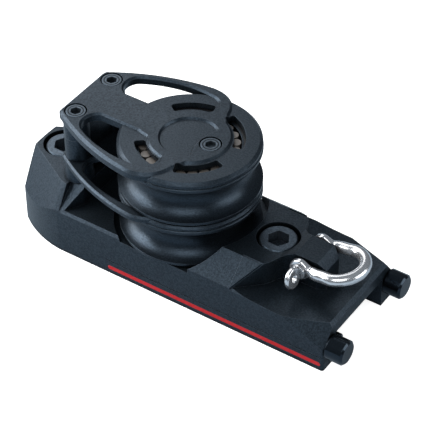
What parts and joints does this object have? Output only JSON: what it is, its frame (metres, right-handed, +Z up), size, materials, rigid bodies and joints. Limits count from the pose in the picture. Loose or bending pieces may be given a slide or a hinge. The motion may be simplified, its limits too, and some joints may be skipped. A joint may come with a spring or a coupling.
{
  "type": "traveler end control",
  "caption": "Sailboat traveler end control: a body that sits on the track's end, with stacked sheaves on roller bearings, side plates on posts, end bumpers and a bow shackle on a lug.",
  "frame": {"origin": "on the flat underside of the two side walls, under the common axis of the sheaves, in the middle of the track channel", "axes": "+X along the track toward the bumpers, +Z up along the sheave axis, -Y is the side with the stripe"},
  "size_m": [0.159, 0.0616, 0.063],
  "materials": {
    "anodised_body": "hard black anodised alloy, satin",
    "plate_black": "hard black anodised alloy, satin",
    "spacer_black": "hard black anodised alloy, satin",
    "sheave_black": "hard black anodised alloy, smooth satin",
    "red_stripe": "plain red line",
    "black_bolt": "black oxide steel",
    "black_screw": "black oxide steel",
    "bumper_gloss": "smooth hard black rubber",
    "race_alloy": "machined alloy",
    "roller_plastic": "brown grey bearing plastic",
    "ring_plastic": "dark bearing plastic",
    "polished_steel": "polished stainless steel"
  },
  "bodies": {
    "base": {"base_body": "anodised_body", "side_stripe": "red_stripe", "nose_bolt": "black_bolt", "deck_bolt": "black_bolt", "near_bumper": "bumper_gloss", "far_bumper": "bumper_gloss", "sheave_axle": "race_alloy", "lower_inner_race": "race_alloy", "upper_inner_race": "race_alloy", "middle_plate": "plate_black", "upper_plate": "plate_black", "hub_screw": "black_screw", "inner_knob": "bumper_gloss", "near_spacer": "spacer_black", "far_spacer": "spacer_black", "near_post_screw": "black_screw", "far_post_screw": "black_screw"},
    "lower_sheave": {"lower_sheave": "sheave_black", "lower_sheave_bottom_ring": "ring_plastic", "lower_sheave_top_ring": "ring_plastic"},
    "upper_sheave": {"upper_sheave": "sheave_black", "upper_sheave_bottom_ring": "ring_plastic", "upper_sheave_top_ring": "ring_plastic"},
    "lower_rollers": {"lower_rollers": "roller_plastic"},
    "upper_rollers": {"upper_rollers": "roller_plastic"},
    "shackle_bow": {"shackle_bow": "polished_steel"},
    "shackle_pin": {"shackle_pin": "polished_steel"}
  },
  "joints": [
    {"name": "lower_sheave_spin", "type": "hinge", "parent": "base", "child": "lower_sheave", "pos_m": [0, 0, 0.0292], "axis": [0, 0, 1], "continuous": true},
    {"name": "upper_sheave_spin", "type": "hinge", "parent": "base", "child": "upper_sheave", "pos_m": [0, 0, 0.0502], "axis": [0, 0, 1], "continuous": true},
    {"name": "lower_roller_spin", "type": "hinge", "parent": "base", "child": "lower_rollers", "pos_m": [0, 0, 0.0292], "axis": [0, 0, 1], "continuous": true},
    {"name": "upper_roller_spin", "type": "hinge", "parent": "base", "child": "upper_rollers", "pos_m": [0, 0, 0.0502], "axis": [0, 0, 1], "continuous": true},
    {"name": "shackle_swing", "type": "hinge", "parent": "base", "child": "shackle_bow", "pos_m": [0.0567, 0, 0.0285], "axis": [0, 1, 0], "range_deg": [-108, 18]},
    {"name": "shackle_pin_turn", "type": "hinge", "parent": "shackle_bow", "child": "shackle_pin", "pos_m": [0.0567, 0, 0.0285], "axis": [0, 1, 0], "continuous": true}
  ],
  "couplings": [
    {"joint": "lower_roller_spin", "follows": "lower_sheave_spin", "ratio": 0.5644},
    {"joint": "upper_roller_spin", "follows": "upper_sheave_spin", "ratio": 0.5644}
  ]
}
